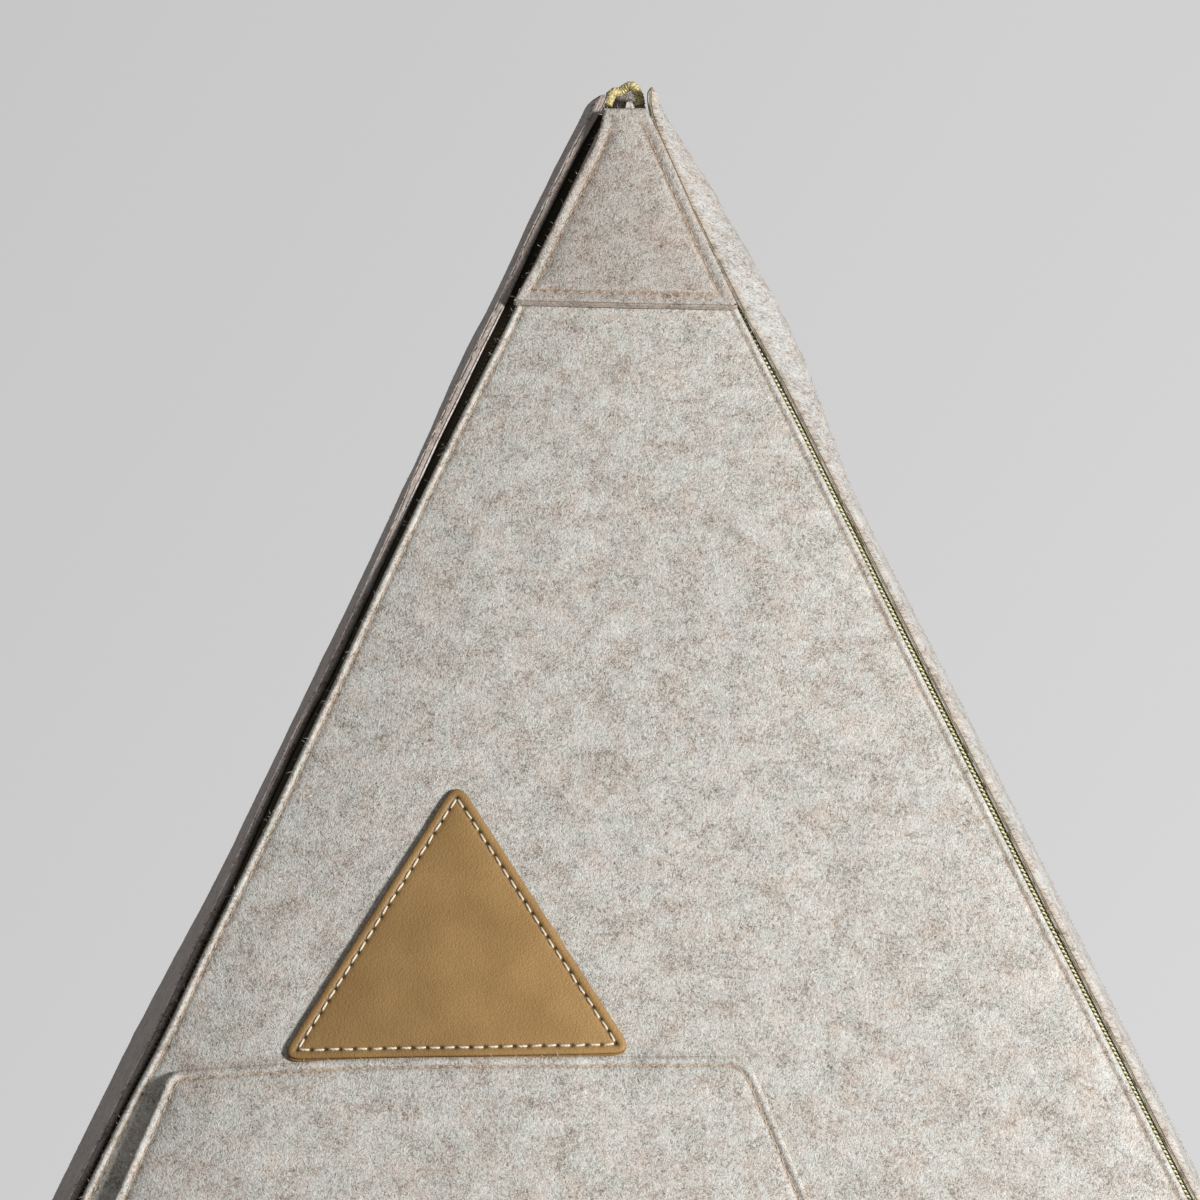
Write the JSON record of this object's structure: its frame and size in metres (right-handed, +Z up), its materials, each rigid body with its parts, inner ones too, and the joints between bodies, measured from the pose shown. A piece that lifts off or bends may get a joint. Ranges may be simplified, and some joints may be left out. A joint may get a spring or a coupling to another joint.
{
  "type": "teepee pet bed",
  "caption": "Felt pyramid tent for a small pet: zipped front panel with a faced doorway, felt cap and bare leather patch, on a felt floor panel.",
  "frame": {"origin": "on the ground, under the middle of the floor panel's underside", "axes": "+Z up; the front panel with the doorway faces -Y; +X is to the right as seen from the front"},
  "size_m": [0.563, 0.563, 0.5565],
  "materials": {
    "felt": "heathered oatmeal wool felt, napped, raw cut edges",
    "leather": "smooth tan leather with a fine grain, stitched round its edge",
    "nylon": "pale yellow-green nylon zip coil on woven tape"
  },
  "bodies": {
    "root": {"front_panel": "felt", "left_panel": "felt", "right_panel": "felt", "back_panel": "felt", "floor_panel": "felt", "cap_overlay": "felt", "door_facing": "felt", "leather_patch": "leather", "zip": "nylon"}
  },
  "joints": []
}
